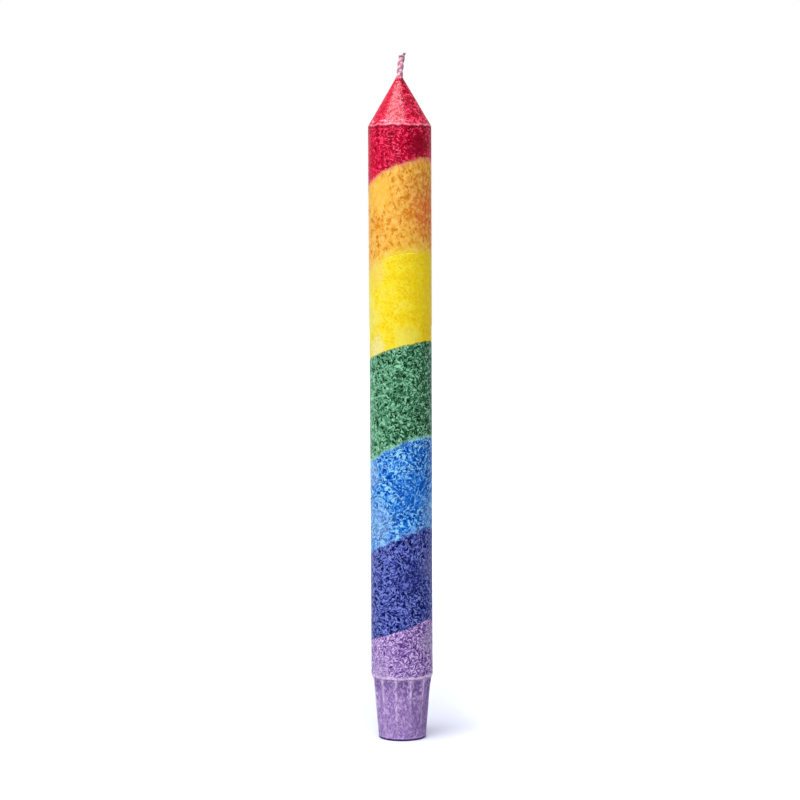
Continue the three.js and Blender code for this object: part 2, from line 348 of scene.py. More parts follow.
def shape_wax(sizes, wax, painted_light):
    """Moves the turned wax's points onto the flutes, the rounded edges and the pits and waves of the crystals.
    It also gives each point its painted light: painted highlights on the rib crests, the ledge's lip, the seam and
    the edge above the underside, painted light just below the ledge, and painted shade in the flutes, in the
    groove under the seam, on the tip's right side and along the underside.
    """
    foot = sizes.foot_height
    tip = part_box("red_tip_layer")[1].z / MM
    shoulder = tip - sizes.cone_height
    cone_slope = (sizes.shoulder_radius - sizes.tip_radius) / sizes.cone_height
    cone_cos = 1 / math.hypot(1, cone_slope)
    bore_flatness = sizes.bore_half_depth / sizes.bore_half_width
    for vert in wax.verts:
        radius = math.hypot(vert.co.x, vert.co.y) / MM
        turn = math.atan2(vert.co.y, vert.co.x)
        height = vert.co.z / MM
        inside = radius < sizes.bore_half_width + 0.01
        if inside:
            vert.co.y *= bore_flatness
            continue
        place = Vector((math.cos(turn), math.sin(turn), 0)) * radius + Vector((0, 0, height))
        edge = 0
        inward = 0
        if height < foot + 0.01:
            ribs = rib_radius(sizes, height)
            flute = flute_radius(sizes, height, turn)
            if radius > sizes.foot_underside_radius - 0.01:
                pitch = FULL_TURN / FLUTES
                off = abs((turn - sizes.flute_turn) % pitch - pitch / 2)
                # Painted highlight along each rib's crest, strongest towards the ledge and broken up by noise.
                painted_rib_highlight = math.exp(-((off * radius / 0.34) ** 2))
                depth = max(0, ribs - flute)
                fade = 0.3 * smoothstep(1, 6, height) + 0.7 * smoothstep(7, 20, height)
                broken = 0.9 + 1.5 * noise.noise(place * 0.6)
                edge = 0.95 * painted_rib_highlight * fade * broken
                # Painted shade in the tops of the flutes under the ledge, then painted light all round just below
                # the ledge, where the ledge shades the foot.
                edge -= 0.3 * smoothstep(foot - 10, foot - 1, height) * min(1, depth / 0.5)
                edge += 0.8 * smoothstep(foot - 1.3, foot - 0.2, height)
                # A painted highlight along the edge a little above the underside, and a painted contact shadow along
                # the underside.
                edge += 0.3 * smoothstep(1.5, 1.0, height) * smoothstep(0.4, 0.8, height)
                edge -= 1.3 * smoothstep(0.68, 0.42, height)
                radius = min(ribs, flute)
        elif height < shoulder - 1.5:
            # Painted highlight along the ledge's lip, at an uneven height.
            uneven = 0.3 * noise.noise(place * 0.5)
            painted_lip_highlight = 1 - smoothstep(0.3, 0.65, abs(height - foot - 0.6 - uneven))
            edge = painted_lip_highlight * (1.05 + 1.4 * noise.noise(place * 0.9))
        else:
            # The seam's bead and the groove under it are in the shape; they also get a painted highlight on the
            # bead, painted shade in the groove, and a painted highlight along a second wavy crest above that is not
            # in the shape.
            drop = seam_height(place, shoulder) - height
            bead = math.exp(-((drop / 0.42) ** 2))
            second = math.exp(-(((drop + 1.5 + 0.5 * noise.noise(place * 0.5)) / 0.3) ** 2))
            groove = math.exp(-(((drop - 0.75) / 0.4) ** 2))
            if height < shoulder + 3:
                edge = bead * (0.75 + 0.9 * noise.noise(place * 0.7)) - 0.7 * groove
                edge += max(0, second * 2 * noise.noise(place * 0.35 + Vector((0, 0, 9))))
            # Painted shade on the tip's right side, next to the wick.
            edge -= 1.3 * smoothstep(tip - 3.5, tip - 0.8, height) * smoothstep(-0.1, 0.5, math.cos(turn))
            full = sizes.shoulder_radius + 0.02
            rounded = round_shoulder(sizes, height, shoulder, cone_slope, cone_cos)
            if rounded is not None and abs(height - shoulder) < 2:
                radius = rounded
            radius = min(full, radius + 0.07 * bead - 0.04 * groove)
        if radius > sizes.tip_radius + 0.05 and height > 0.01:
            pits = noise.noise(place * 1.15 + Vector((3.1, 0, 0)))
            inward = sizes.pit_depth * max(0, pits - 0.05) * 2
            inward += sizes.wave_depth * (0.5 + 0.5 * noise.noise(place / 6))
            inward *= smoothstep(0, 1.2, height)
            radius -= inward
        # Above zero a painted highlight, below zero painted shade.
        vert[painted_light] = edge
        if height > tip - 1.5:
            radius, height, flat = shape_collar(sizes, radius, height, turn, tip, bore_flatness)
            vert.co = Vector((radius * math.cos(turn), radius * math.sin(turn) * flat, height)) * MM
            continue
        vert.co = Vector((radius * math.cos(turn), radius * math.sin(turn), height)) * MM
    round_underside(sizes, wax)


def seam_height(place, shoulder):
    """Height of the wavy seam that the mould left between the body and the tip."""
    around = Vector((place.x, place.y, 0))
    return shoulder + 0.05 + 0.45 * noise.noise(around * 0.25) + 0.45 * noise.noise(around * 0.6)


def round_shoulder(sizes, height, shoulder, slope, cosine):
    """Radius of the rounded shoulder at a height, or None beyond it."""
    setback = sizes.shoulder_round * math.tan(math.atan(slope) / 2)
    low = shoulder - setback
    high = shoulder + setback * cosine
    if height < low or height > high:
        return None
    rise = height - low
    return sizes.shoulder_radius - sizes.shoulder_round + math.sqrt(sizes.shoulder_round ** 2 - rise ** 2)


def shape_collar(sizes, radius, height, turn, tip, flatness):
    """Draws the tip of the wax up round the flat wick in an uneven collar."""
    close = 1 - smoothstep(sizes.bore_half_width, sizes.bore_half_width + 1.6, radius)
    flat = 1 + (flatness - 1) * close * smoothstep(tip - 1.2, tip + 0.1, height)
    lift = 0.22 * noise.noise(Vector((math.cos(turn), math.sin(turn), 0.4)) * 1.3)
    return radius, height + lift * close, flat


def round_underside(sizes, wax):
    """Bevels the edge round the underside."""
    edges = [
        edge for edge in wax.edges
        if all(vert.co.z < 1e-6 and vert.co.xy.length > (sizes.foot_underside_radius - 0.05) * MM
               for vert in edge.verts)
    ]
    bmesh.ops.bevel(
        wax, geom=edges, offset=sizes.underside_round * MM, segments=4, profile=0.5, affect="EDGES",
        material=-1)


def cut_at_joint(mesh, joint, keep_above):
    """Cuts a mesh at a joint and closes it again between the outside and the bore."""
    point, normal = joint
    result = bmesh.ops.bisect_plane(
        mesh, geom=mesh.verts[:] + mesh.edges[:] + mesh.faces[:], dist=1e-8, plane_co=point, plane_no=normal,
        clear_outer=not keep_above, clear_inner=keep_above)
    rim = [edge for edge in result["geom_cut"] if isinstance(edge, bmesh.types.BMEdge) and edge.is_boundary]
    bmesh.ops.bridge_loops(mesh, edges=rim)


# Materials.


class NodeTree:
    """Adds shader nodes to a tree with few words."""

    def __init__(self, tree):
        self.tree = tree

    def add(self, kind, inputs=(), **settings):
        """A node of a kind. Each input is a name or number with a value or another node's socket."""
        node = self.tree.nodes.new(kind)
        for key, value in settings.items():
            setattr(node, key, value)
        for key, value in dict(inputs).items():
            socket = node.inputs[key]
            if isinstance(value, bpy.types.NodeSocket):
                self.tree.links.new(value, socket)
            else:
                socket.default_value = value
        return node

    def math(self, operation, first, second=0.0, third=0.0, clamp=False):
        node = self.add(
            "ShaderNodeMath", {0: first, 1: second, 2: third}, operation=operation, use_clamp=clamp)
        return node.outputs[0]

    def vector_math(self, operation, first, second=(0, 0, 0), scale=None):
        node = self.add("ShaderNodeVectorMath", {0: first, 1: second}, operation=operation)
        if scale is not None:
            self.set_socket(node.inputs["Scale"], scale)
        return node.outputs["Value" if operation in ("DOT_PRODUCT", "LENGTH") else "Vector"]

    def set_socket(self, socket, value):
        if isinstance(value, bpy.types.NodeSocket):
            self.tree.links.new(value, socket)
        else:
            socket.default_value = value

    def noise(self, vector, scale, detail=2.0, roughness=0.5, distortion=0.0):
        return self.add("ShaderNodeTexNoise", {
            "Vector": vector, "Scale": scale, "Detail": detail, "Roughness": roughness,
            "Distortion": distortion})

    def fade(self, value, low, high, to_low=0.0, to_high=1.0):
        """Eases a value from to_low at low to to_high at high."""
        node = self.add("ShaderNodeMapRange", {
            "Value": value, "From Min": low, "From Max": high, "To Min": to_low, "To Max": to_high},
            interpolation_type="SMOOTHSTEP")
        return node.outputs["Result"]

    def mix(self, factor, first, second, blend="MIX"):
        node = self.add("ShaderNodeMix", data_type="RGBA", blend_type=blend)
        for name, value in (("Factor", factor), ("A", first), ("B", second)):
            sockets = [s for s in node.inputs if s.name == name and s.enabled]
            self.set_socket(sockets[0], value)
        return next(s for s in node.outputs if s.enabled)


def opaque(colour):
    return (*colour, 1)


def crystal_pattern(nodes, colours):
    """The crystals in the wax. All layers share the pattern, so it runs on over their joints."""
    coordinates = nodes.add("ShaderNodeTexCoord").outputs["Object"]
    place = nodes.vector_math("SCALE", coordinates, scale=1 / MM)
    bend = nodes.noise(place, 0.5, detail=1).outputs["Color"]
    bend = nodes.vector_math("SUBTRACT", bend, (0.5, 0.5, 0.5))
    bent = nodes.vector_math("ADD", place, nodes.vector_math("SCALE", bend, scale=2.5))
    patch = nodes.add("ShaderNodeTexVoronoi", {"Vector": bent, "Scale": 1 / colours.patch_size})
    along = nodes.vector_math("SUBTRACT", patch.outputs["Color"], (0.5, 0.5, 0.5))
    along = nodes.vector_math("NORMALIZE", along)
    middle = nodes.vector_math("SUBTRACT", bent, patch.outputs["Position"])
    run = nodes.vector_math("DOT_PRODUCT", middle, along)
    squeeze = nodes.vector_math("SCALE", along, scale=nodes.math("MULTIPLY", run, -0.7))
    grown = nodes.vector_math("ADD", middle, squeeze)
    grown = nodes.vector_math("ADD", grown, nodes.vector_math("SCALE", patch.outputs["Color"], scale=40))
    kept = nodes.fade(nodes.noise(place, 0.7, detail=1).outputs["Fac"], 0.42, 0.56)
    slow = nodes.noise(place, 0.3, detail=2).outputs["Fac"]
    parts = nodes.add("ShaderNodeSeparateXYZ", {"Vector": place})
    # The slow tone is random, plus a fall from left to right: painted sheen on the left of the candle and painted
    # shade on its right.
    tone_and_painted_shading = nodes.math("ADD", slow, nodes.math("MULTIPLY", parts.outputs["X"], -0.018))
    return {
        "place": place, "aside": parts.outputs["X"], "height": parts.outputs["Z"], "bent": bent, "grown": grown,
        "kept": kept, "tone_and_painted_shading": tone_and_painted_shading}


def thin_lines(nodes, noise_node, width):
    """Thin lines along which a noise passes its middle value."""
    away = nodes.math("ABSOLUTE", nodes.math("SUBTRACT", noise_node.outputs["Fac"], 0.5))
    return nodes.fade(away, 0.0, width, 1.0, 0.0)


# How each joint looks from outside, in millimetres: the half width of the blend of the two colours, how far
# it wanders, a line along it with its colour, strength, place above the joint and half width, and how far the
# joint is lifted at its left and right ends.
JOINTS = {
    "violet": {
        "blend": 0.15, "wander": 0.8, "line": "#2c2470", "strength": 0.5, "above": 0.35, "width": 0.35,
        "lifts": (1.3, 1.6)},
    "indigo": {
        "blend": 0.25, "wander": 1.6, "line": "#9ab8ec", "strength": 0.65, "above": 0.9, "width": 0.9,
        "lifts": (0.0, 0.0)},
    "blue": {
        "blend": 0.5, "wander": 1.0, "line": "#9fdccc", "strength": 0.75, "above": 0.2, "width": 0.9,
        "lifts": (0.0, 0.0)},
    "green": {
        "blend": 0.2, "wander": 0.7, "line": "#8d9a34", "strength": 0.75, "above": -0.25, "width": 0.4,
        "lifts": (0.0, 1.0)},
    "yellow": {
        "blend": 2.6, "wander": 1.4, "line": "#f8cc86", "strength": 0.3, "above": -0.3, "width": 2.2,
        "rise": 1.4, "lifts": (-1.0, 0.6)},
    "orange": {
        "blend": 0.9, "wander": 1.2, "line": "#ee9a78", "strength": 0.75, "above": -0.2, "width": 1.2,
        "lifts": (0.0, 1.4)},
}


# How each layer shows the pattern: its crystals' size as a share of the setting, how much finer they are along
# each axis and whether they are flaky, the value above which it is crystal and the share of that colour, the
# value below which it is pit and that share, the shares of the pale needles and of the dark strokes, and how
# dark and how pale the slow tone makes it. The slow tone falls from left to right, so these also paint shade on
# the right of the candle and sheen on its left.
LOOKS = {
    "violet": {
        "size": 0.67, "grain": (1.12, 1.12, 1.0), "flaky": False, "crystals": (0.54, 0.62, 0.95),
        "pits": (0.48, 0.37, 1.0), "needles": 1.0, "strokes": 0.0, "dark": 0.4, "pale": 0.1},
    "indigo": {
        "size": 0.78, "grain": (1.1, 1.1, 1.0), "flaky": False, "crystals": (0.53, 0.65, 0.85),
        "pits": (0.51, 0.4, 1.0), "needles": 0.85, "strokes": 0.0, "dark": 0.5, "pale": 0.2},
    "blue": {
        "size": 0.88, "grain": (1.0, 1.0, 1.05), "flaky": False, "crystals": (0.53, 0.65, 0.95),
        "pits": (0.5, 0.39, 1.0), "needles": 0.7, "strokes": 0.0, "dark": 0.55, "pale": 0.3},
    "green": {
        "size": 0.84, "grain": (1.0, 1.0, 0.95), "flaky": False, "crystals": (0.55, 0.68, 0.75),
        "pits": (0.49, 0.37, 1.0), "needles": 0.8, "strokes": 0.0, "dark": 0.5, "pale": 0.3},
    "yellow": {
        "size": 0.8, "grain": (1.05, 1.05, 0.9), "flaky": True, "crystals": (0.54, 0.66, 0.6),
        "pits": (0.44, 0.33, 0.75), "needles": 0.0, "strokes": 0.25, "dark": 0.35, "pale": 0.4},
    "orange": {
        "size": 1.55, "grain": (1.1, 1.1, 0.75), "flaky": True, "crystals": (0.5, 0.62, 0.65),
        "pits": (0.465, 0.36, 1.0), "needles": 0.0, "strokes": 0.55, "dark": 0.35, "pale": 0.3},
    "red": {
        "size": 1.0, "grain": (1.0, 1.0, 1.4), "flaky": False, "crystals": (0.59, 0.622, 0.95),
        "pits": (0.49, 0.38, 1.0), "needles": 1.0, "strokes": 0.0, "dark": 0.4, "pale": 0.0},
}


# Soft patches of another colour, in millimetres. Each spares the crystals, the pits or neither. Most are painted
# light: the pale patches towards the left are painted sheen, the pale ones at the right edge are painted
# reflection, and the dark ones right of the middle are painted shade. The others, such as the small amber spots
# in the orange, are uneven tone of the wax.
TINT_AND_PAINTED_LIGHT_PATCHES = [
    {"layer": "red", "middle": (7, -9, 216), "radius": 6.5, "colour": "#900020", "strength": 0.85},
    {"layer": "red", "middle": (2, -12, 208), "radius": 6, "colour": "#a00428", "strength": 0.4,
     "spares": "crystals"},
    {"layer": "red", "middle": (-11, -5, 211), "radius": 11, "colour": "#f01846", "strength": 0.3,
     "spares": "pits"},
    {"layer": "orange", "middle": (11, -4, 193), "radius": 14, "colour": "#e0603a", "strength": 0.65,
     "spares": "crystals"},
    {"layer": "orange", "middle": (8, -8, 201), "radius": 9, "colour": "#cc7638", "strength": 0.45,
     "spares": "crystals"},
    {"layer": "orange", "middle": (-8, -8, 188), "radius": 2.2, "colour": "#e08408", "strength": 0.8,
     "spares": "crystals"},
    {"layer": "orange", "middle": (3, -11, 191), "radius": 3.5, "colour": "#d87c08", "strength": 0.8,
     "spares": "crystals"},
    {"layer": "orange", "middle": (-8, -8, 199), "radius": 8, "colour": "#ffca48", "strength": 0.6,
     "spares": "crystals"},
    {"layer": "orange", "middle": (1, -12, 179), "radius": 9, "colour": "#f8c048", "strength": 0.4,
     "spares": "pits"},
    {"layer": "yellow", "middle": (-9, -7, 171), "radius": 6, "colour": "#f4cc7c", "strength": 0.35},
    {"layer": "yellow", "middle": (-12, -2, 155), "radius": 9, "colour": "#f6f284", "strength": 0.4},
    {"layer": "yellow", "middle": (-9, -8, 142), "radius": 5.5, "colour": "#f2ecb0", "strength": 0.55,
     "spares": "pits"},
    {"layer": "yellow", "middle": (3, -12, 146), "radius": 7, "colour": "#f4ea64", "strength": 0.55},
    {"layer": "blue", "middle": (-9, -7, 79), "radius": 9, "colour": "#a0cafa", "strength": 0.4, "spares": "pits"},
    {"layer": "blue", "middle": (-12, -2, 97), "radius": 8, "colour": "#a4ccf4", "strength": 0.45,
     "spares": "pits"},
    {"layer": "blue", "middle": (6, -9, 90), "radius": 11, "colour": "#146cd8", "strength": 0.4},
    {"layer": "blue", "middle": (11, -4, 84), "radius": 9, "colour": "#84b4e8", "strength": 0.45, "spares": "pits"},
    {"layer": "indigo", "middle": (5, -10, 60), "radius": 8, "colour": "#202878", "strength": 0.4},
    {"layer": "indigo", "middle": (11, -4, 64), "radius": 9, "colour": "#7c7cb8", "strength": 0.4,
     "spares": "pits"},
    {"layer": "violet", "middle": (11, -4, 36), "radius": 8, "colour": "#b8acd0", "strength": 0.5,
     "spares": "pits"},
    {"layer": "violet", "middle": (-1, -12, 34), "radius": 6, "colour": "#6c489c", "strength": 0.35,
     "spares": "crystals"},
    {"layer": "violet", "middle": (11, -3, 10), "radius": 13, "colour": "#745498", "strength": 0.45},
    {"layer": "violet", "middle": (-8, -8, 26), "radius": 5, "colour": "#d4bce8", "strength": 0.3,
     "spares": "pits"},
]


def layer_shape(nodes, colours, layer, pattern):
    """Height of the crystals in one layer, and the thin needles among them."""
    look = LOOKS[layer]
    density = 1 / (colours.crystal_size * look["size"])
    if look["flaky"]:
        upright = nodes.vector_math("MULTIPLY", pattern["bent"], look["grain"])
        shape = nodes.noise(upright, density, detail=2, roughness=0.6).outputs["Fac"]
        fibres = nodes.vector_math("MULTIPLY", pattern["bent"], (1.3, 1.3, 0.6))
        lines = nodes.noise(fibres, density, detail=1)
    else:
        grain = nodes.vector_math("MULTIPLY", pattern["grown"], look["grain"])
        if layer == LAYERS[0]:
            grain = nodes.vector_math("MULTIPLY", grain, drawn_foot(nodes, pattern))
        shape = nodes.noise(grain, density, detail=1).outputs["Fac"]
        lines = nodes.noise(grain, 0.42 * density, detail=1)
    needles = thin_lines(nodes, lines, 0.045)
    return shape, nodes.math("MULTIPLY", needles, pattern["kept"])


def layer_colour(nodes, colours, layer, pattern, shape, needles):
    """The pattern in one layer's own pit, body and crystal colours."""
    look = LOOKS[layer]
    pit = opaque(getattr(colours, f"{layer}_pit"))
    body = opaque(getattr(colours, f"{layer}_body"))
    crystal = opaque(getattr(colours, f"{layer}_crystal"))
    # Low tone mixes towards the pit colour and high tone towards the crystal colour; with the tone's fall from left
    # to right this is partly painted shade and painted sheen.
    darker_tone_and_painted_shade = nodes.fade(pattern["tone_and_painted_shading"], 0.55, 0.3, 0.0, look["dark"])
    colour = nodes.mix(darker_tone_and_painted_shade, body, pit)
    paler_tone_and_painted_sheen = nodes.fade(pattern["tone_and_painted_shading"], 0.5, 0.75, 0.0, look["pale"])
    colour = nodes.mix(paler_tone_and_painted_sheen, colour, crystal)
    start, full, share = look["pits"]
    colour = nodes.mix(nodes.fade(shape, start, full, 0.0, share), colour, pit)
    if look["strokes"]:
        colour = nodes.mix(nodes.math("MULTIPLY", needles, look["strokes"]), colour, pit)
    start, full, share = look["crystals"]
    light = nodes.fade(shape, start, full, 0.0, share)
    light = nodes.math("MAXIMUM", light, nodes.math("MULTIPLY", needles, look["needles"]))
    colour = nodes.mix(light, colour, crystal)
    if layer == LAYERS[0]:
        moulded = nodes.mix(0.26, body, crystal)
        colour = nodes.mix(moulded_foot(nodes, pattern), colour, moulded)
    if layer == LAYERS[-1]:
        # Crystals evened out where the highlight falls on the tip, a painted stand-in for the highlight.
        colour = nodes.mix(smoothing_under_highlight(nodes, pattern), colour, body)
    for patch in TINT_AND_PAINTED_LIGHT_PATCHES:
        if patch["layer"] == layer:
            colour = tint_and_painted_light_patch(nodes, pattern, patch, colour, shape)
    return colour


def drawn_foot(nodes, pattern):
    """How much coarser the pattern is along each axis in the foot, where the crystals are drawn out upwards."""
    ledge = cad_frame_height("holder_ledge")
    above = nodes.math("GREATER_THAN", pattern["height"], ledge)
    upwards = nodes.math("MULTIPLY_ADD", above, 0.68, 0.32)
    return nodes.add("ShaderNodeCombineXYZ", {"X": 1.0, "Y": 1.0, "Z": upwards}).outputs["Vector"]


def cad_frame_height(mount):
    """Height of one of the record's mounts, in millimetres."""
    places = {entry["name"]: entry["pos_m"] for entry in frame["record"]["mounts"]}
    return places[mount][2] / MM


def moulded_foot(nodes, pattern):
    """How much smoother the mould left the foot, most of all in its lower half."""
    smooth = nodes.fade(pattern["height"], 4, 17, 0.58, 0.42)
    return nodes.math("MULTIPLY", smooth, nodes.fade(pattern["height"], 22, 23.2, 1.0, 0.0))


def smoothing_under_highlight(nodes, pattern):
    """How much the crystals are evened out to the body's colour in a band left of the tip's middle, where the
    highlight falls: a painted stand-in for the highlight washing the crystals out.
    """
    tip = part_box(LAYER_NODES[LAYERS[-1]])[1].z / MM
    wandering = nodes.add("ShaderNodeSeparateXYZ", {"Vector": pattern["bent"]}).outputs["X"]
    smooth = nodes.fade(wandering, -1.5, 1.2, 0.52, 0.0)
    smooth = nodes.math("MULTIPLY", smooth, nodes.fade(wandering, -8, -4.5, 0.45, 1.0))
    return nodes.math("MULTIPLY", smooth, nodes.fade(pattern["height"], tip - 17.6, tip - 16.6))


def tint_and_painted_light_patch(nodes, pattern, patch, colour, shape):
    """Tints an uneven patch of a layer. The table says which patches are painted sheen, reflection or shade and
    which are uneven tone of the wax.
    """
    away = nodes.vector_math("LENGTH", nodes.vector_math("SUBTRACT", pattern["bent"], patch["middle"]))
    away = nodes.math("ADD", away, nodes.math("MULTIPLY_ADD", pattern["tone_and_painted_shading"], -6.0, 3.0))
    share = nodes.fade(away, patch["radius"], 0.4 * patch["radius"], 0.0, patch["strength"])
    if patch.get("spares") == "crystals":
        share = nodes.math("MULTIPLY", share, nodes.fade(shape, 0.6, 0.42, 0.3, 1.2))
    if patch.get("spares") == "pits":
        share = nodes.math("MULTIPLY", share, nodes.fade(shape, 0.38, 0.52, 0.45, 1.15))
    return nodes.mix(share, colour, opaque(linear(patch["colour"])))


def joint_distance(nodes, place, aside, layer):
    """Distance above the joint on top of a layer, in millimetres, wandering and lifted a little at its ends."""
    point, normal = joint_on_top(LAYER_NODES[layer])
    height = nodes.vector_math("DOT_PRODUCT", place, tuple(normal))
    height = nodes.math("SUBTRACT", height, point.dot(normal) / MM + JOINTS[layer].get("rise", 0))
    left, right = JOINTS[layer]["lifts"]
    height = nodes.math("SUBTRACT", height, nodes.fade(aside, -4, -11, 0.0, left))
    height = nodes.math("SUBTRACT", height, nodes.fade(aside, 3, 11, 0.0, right))
    wander = JOINTS[layer]["wander"]
    slow = nodes.noise(place, 0.35, detail=0).outputs["Fac"]
    quick = nodes.noise(place, 1.4, detail=1).outputs["Fac"]
    height = nodes.math("ADD", height, nodes.math("MULTIPLY_ADD", slow, wander, -wander / 2))
    return nodes.math("ADD", height, nodes.math("MULTIPLY_ADD", quick, 0.9 * wander, -0.45 * wander))


def wax_material(layer, colours):
    """Crystalline wax of one layer, which runs into its neighbours' colours at the joints."""
    material = bpy.data.materials.new(f"{layer} wax")
    material.use_nodes = True
    material.diffuse_color = opaque(getattr(colours, f"{layer}_body"))
    tree = material.node_tree
    tree.nodes.clear()
    nodes = NodeTree(tree)
    pattern = crystal_pattern(nodes, colours)
    shape, needles = layer_shape(nodes, colours, layer, pattern)
    colour = layer_colour(nodes, colours, layer, pattern, shape, needles)
    index = LAYERS.index(layer)
    if index > 0:
        colour = cross_joint(nodes, colours, LAYERS[index - 1], LAYERS[index - 1], colour, pattern, True)
    if index < len(LAYERS) - 1:
        colour = cross_joint(nodes, colours, layer, LAYERS[index + 1], colour, pattern, False)
    # The foot and the tip get their painted highlights and painted shade.
    if layer in (LAYERS[0], LAYERS[-1]):
        colour = painted_light_colour(nodes, colours, layer, colour)
    height = nodes.math("MULTIPLY_ADD", needles, 0.2, shape)
    bump = nodes.add("ShaderNodeBump", {"Height": height, "Strength": 0.5, "Distance": 0.15 * MM})
    gloss = nodes.fade(pattern["tone_and_painted_shading"], 0.2, 0.8, 0.42, 0.3)
    shader = nodes.add("ShaderNodeBsdfPrincipled", {
        "Base Color": colour, "Roughness": gloss, "IOR": 1.44, "Specular IOR Level": 0.04,
        "Normal": bump.outputs["Normal"]})
    if layer == LAYERS[-1]:
        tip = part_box(LAYER_NODES[layer])[1].z / MM
        shiny = nodes.fade(pattern["height"], tip - 17.3, tip - 16.5, 0.0, 0.19)
        shiny = nodes.math("MULTIPLY", shiny, nodes.fade(shape, 0.34, 0.46, 0.4, 1.0))
        specks = nodes.noise(pattern["place"], 1.3, detail=1).outputs["Fac"]
        shiny = nodes.math("MULTIPLY", shiny, nodes.fade(specks, 0.4, 0.52, 0.4, 1.1))
        shiny = nodes.math("MULTIPLY", shiny, nodes.fade(pattern["aside"], -9, -4, 0.4, 1.0))
        shiny = nodes.math("MULTIPLY", shiny, nodes.fade(pattern["aside"], 1, 6, 1.0, 0.35))
        nodes.set_socket(shader.inputs["Coat Weight"], shiny)
        shader.inputs["Coat Roughness"].default_value = 0.25
        shader.inputs["Coat IOR"].default_value = 1.55
    output = nodes.add("ShaderNodeOutputMaterial", {"Surface": shader.outputs["BSDF"]})
    output.is_active_output = True
    return material


def painted_light_colour(nodes, colours, layer, colour):
    """Mixes in the painted light: the edge colour as painted highlights where it is above zero, and the pit colour
    as painted shade where it is below zero.
    """
    painted_light = nodes.add("ShaderNodeAttribute", attribute_name="painted_light").outputs["Fac"]
    painted_highlight_share = nodes.math("MULTIPLY", painted_light, 1.0, clamp=True)
    painted_shade_share = nodes.math("MULTIPLY", painted_light, -1.0, clamp=True)
    colour = nodes.mix(painted_highlight_share, colour, opaque(getattr(colours, f"{layer}_edge")))
    return nodes.mix(painted_shade_share, colour, opaque(getattr(colours, f"{layer}_pit")))


def cross_joint(nodes, colours, lower, other, colour, pattern, joint_below):
    """Mixes a layer's colour with its neighbour's over the joint on top of the lower of the two."""
    look = JOINTS[lower]
    place = pattern["place"]
    above = joint_distance(nodes, place, pattern["aside"], lower)
    share = nodes.fade(above, -look["blend"], look["blend"])
    shape, needles = layer_shape(nodes, colours, other, pattern)
    neighbour = layer_colour(nodes, colours, other, pattern, shape, needles)
    if joint_below:
        colour = nodes.mix(share, neighbour, colour)
    else:
        colour = nodes.mix(share, colour, neighbour)
    away = nodes.math("ABSOLUTE", nodes.math("SUBTRACT", above, look["above"]))
    patchy = nodes.noise(place, 0.5, detail=1).outputs["Fac"]
    line = nodes.fade(away, 0.0, look["width"], look["strength"], 0.0)
    line = nodes.math("MULTIPLY", line, nodes.fade(patchy, 0.3, 0.6))
    return nodes.mix(line, colour, opaque(linear(look["line"])))


def cotton_material(sizes):
    """Waxed cotton: pale yarns, painted shade where strands pass close and down the wick's right side, and dark
    cut ends.
    """
    material = bpy.data.materials.new("waxed cotton")
    material.use_nodes = True
    material.diffuse_color = opaque(sizes.cotton)
    tree = material.node_tree
    tree.nodes.clear()
    nodes = NodeTree(tree)
    coordinates = nodes.add("ShaderNodeTexCoord").outputs["Object"]
    place = nodes.vector_math("SCALE", coordinates, scale=1 / MM)
    gap = nodes.add("ShaderNodeAttribute", attribute_name="gap").outputs["Fac"]
    cut = nodes.add("ShaderNodeAttribute", attribute_name="cut").outputs["Fac"]
    fibres = nodes.noise(place, 6, detail=3, roughness=0.7).outputs["Fac"]
    blotches = nodes.noise(place, 1.6, detail=1).outputs["Fac"]
    # Random blotches, plus the painted shade.
    tone_and_painted_shading = nodes.math("ADD", gap, nodes.math("MULTIPLY_ADD", blotches, 0.4, -0.2), clamp=True)
    colour = nodes.mix(tone_and_painted_shading, opaque(sizes.cotton), opaque(sizes.gap))
    colour = nodes.mix(nodes.fade(fibres, 0.4, 0.75, 0.0, 0.3), colour, opaque(linear("#ffd0de")))
    colour = nodes.mix(cut, colour, opaque(sizes.cut_end))
    bump = nodes.add("ShaderNodeBump", {"Height": fibres, "Strength": 0.6, "Distance": 0.03 * MM})
    shader = nodes.add("ShaderNodeBsdfPrincipled", {
        "Base Color": colour, "Roughness": 0.62, "Specular IOR Level": 0.15, "Normal": bump.outputs["Normal"]})
    shader.inputs["Sheen Weight"].default_value = 0.12
    nodes.add("ShaderNodeOutputMaterial", {"Surface": shader.outputs["BSDF"]})
    return material


# The wick.


def wick_lean(sizes, height, tip):
    """How far the wick's middle line has leaned to the side at a height, in millimetres."""
    share = max(0, height - tip) / sizes.stands_out
    return sizes.lean * ((1 - sizes.bent_share) * share + sizes.bent_share * share ** 2)


def strand_middle(sizes, index, height, top, tip):
    """The middle of a strand at a height, in millimetres. The strands follow one figure of eight."""
    phase = FULL_TURN * ((height - top) / sizes.braid_pitch + 0.25 + index / len(STRAND_NODES))
    opening = max(0, 1 - (top - height) / sizes.splay_height)
    swing = sizes.braid_swing + sizes.splay * opening ** 2
    lean = wick_lean(sizes, height, tip)
    return Vector((swing * math.sin(phase) + lean, sizes.braid_depth * math.sin(2 * phase), height))


